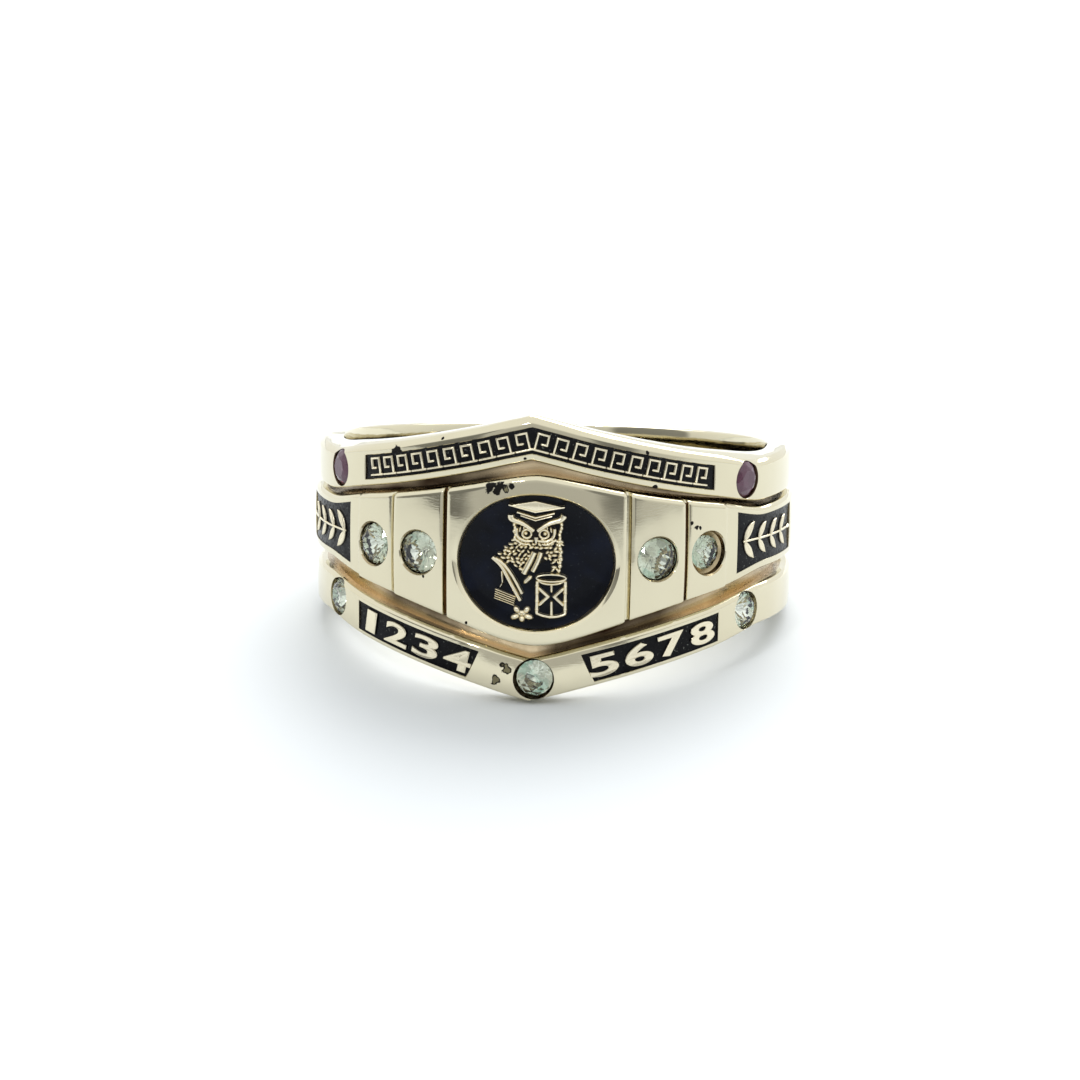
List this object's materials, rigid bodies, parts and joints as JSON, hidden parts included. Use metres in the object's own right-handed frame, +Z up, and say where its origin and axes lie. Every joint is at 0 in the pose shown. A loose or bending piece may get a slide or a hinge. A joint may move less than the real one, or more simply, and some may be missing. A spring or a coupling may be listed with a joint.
{
  "type": "class ring",
  "caption": "Gold class ring of stacked chevron bands with an enamelled oval owl signet, enamel panels and small round stones.",
  "frame": {"origin": "on the surface that the ring lies on, under the middle of its bounding box", "axes": "+Z up from that surface, -Y towards the signet, +X to the right seen from the front"},
  "size_m": [0.0206, 0.0216, 0.0117],
  "materials": {
    "gold": "polished pale yellow gold",
    "raised_gold": "cast pale gold",
    "panel_enamel": "black enamel",
    "oval_enamel": "glossy blue-black enamel",
    "purple_stone": "polished purple stone",
    "clear_stone": "polished clear stone"
  },
  "bodies": {
    "root": {"ring_body": "gold", "upper_enamel": "panel_enamel", "oval_enamel": "oval_enamel", "side_enamel_left": "panel_enamel", "side_enamel_right": "panel_enamel", "lower_enamel_left": "panel_enamel", "lower_enamel_right": "panel_enamel", "meander": "raised_gold", "owl": "raised_gold", "hourglass": "raised_gold", "book_and_quill": "raised_gold", "flower": "raised_gold", "sprig_left": "raised_gold", "sprig_right": "raised_gold", "numerals_left": "raised_gold", "numerals_right": "raised_gold", "upper_stone_left": "purple_stone", "upper_stone_right": "purple_stone", "outer_stone_left": "clear_stone", "outer_stone_right": "clear_stone", "inner_stone_left": "clear_stone", "inner_stone_right": "clear_stone", "lower_stone_left": "clear_stone", "lower_stone_right": "clear_stone", "lower_stone_front": "clear_stone"}
  },
  "joints": []
}
